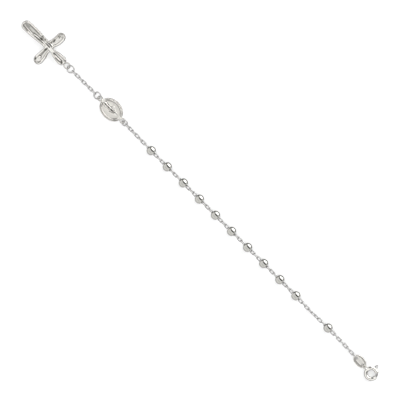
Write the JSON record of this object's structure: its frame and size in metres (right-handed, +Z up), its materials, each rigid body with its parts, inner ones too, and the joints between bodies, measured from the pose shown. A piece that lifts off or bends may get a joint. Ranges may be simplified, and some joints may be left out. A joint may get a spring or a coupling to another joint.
{
  "type": "rosary bracelet",
  "caption": "Silver rosary bracelet laid open: cross pendant, oval medal, hollow round beads on a fine cable chain, small tag and spring-ring clasp.",
  "frame": {"origin": "centre of the box of the whole laid bracelet, on the surface it lies on", "axes": "+X along the bracelet from the cross to the clasp, +Z up from the surface"},
  "size_m": [0.2208, 0.018, 0.004],
  "materials": {
    "cross_silver": "polished rims, satin recesses",
    "medal_silver": "struck, softly polished",
    "bead_silver": "mirror polished",
    "chain_silver": "polished",
    "ring_silver": "polished",
    "tag_silver": "polished",
    "clasp_silver": "polished"
  },
  "bodies": {
    "bracelet": {"cross": "cross_silver", "cross_ring": "ring_silver", "chain_short": "chain_silver", "medal_ring": "ring_silver", "medal": "medal_silver", "bead_ring": "ring_silver", "chain_long": "chain_silver", "bead_01": "bead_silver", "bead_02": "bead_silver", "bead_03": "bead_silver", "bead_04": "bead_silver", "bead_05": "bead_silver", "bead_06": "bead_silver", "bead_07": "bead_silver", "bead_08": "bead_silver", "bead_09": "bead_silver", "bead_10": "bead_silver", "bead_11": "bead_silver", "tag": "tag_silver", "clasp_ring": "clasp_silver"},
    "trigger": {"clasp_bolt": "clasp_silver"}
  },
  "joints": [
    {"name": "trigger_slide", "type": "hinge", "parent": "bracelet", "child": "trigger", "pos_m": [0.1072, -0.00103, 0.0008], "axis": [0, 0, 1], "range_deg": [0, 49], "stiffness_Nm_per_rad": 0.001, "springref_deg": -11.46}
  ]
}
